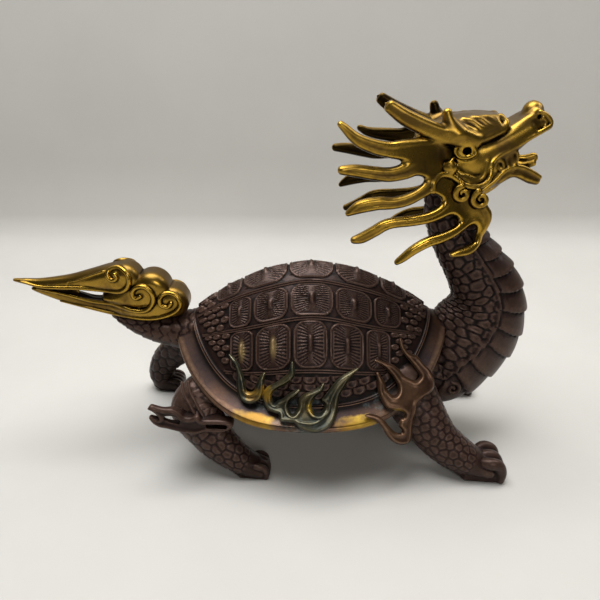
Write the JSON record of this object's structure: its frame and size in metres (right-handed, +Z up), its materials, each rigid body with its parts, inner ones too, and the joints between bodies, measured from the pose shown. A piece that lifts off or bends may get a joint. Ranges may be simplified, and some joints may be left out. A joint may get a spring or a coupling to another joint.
{
  "type": "dragon turtle figure",
  "caption": "Cast bronze dragon turtle figure: a walking turtle with scaled shell and neck, gilded dragon head with streaming mane, curled tail plume, and flames along the rim.",
  "frame": {"origin": "on the ground under the middle of the whole figure's box, with all four soles on the ground", "axes": "+X forwards to the dragon head, +Y to the figure's left, +Z up"},
  "size_m": [0.1848, 0.0812, 0.1261],
  "materials": {
    "dark_bronze": "dark chocolate brown patina, satin",
    "gilt_brass": "gilded and polished, dark in the hollows",
    "verdigris_bronze": "brown bronze with grey green verdigris",
    "copper_bronze": "copper brown patina, satin"
  },
  "bodies": {
    "root": {"turtle_body": "dark_bronze", "dragon_head": "gilt_brass", "tail_plume": "gilt_brass", "rim_flames_right": "verdigris_bronze", "shoulder_flame_right": "copper_bronze", "rim_flames_left": "verdigris_bronze", "shoulder_flame_left": "copper_bronze"}
  },
  "joints": []
}
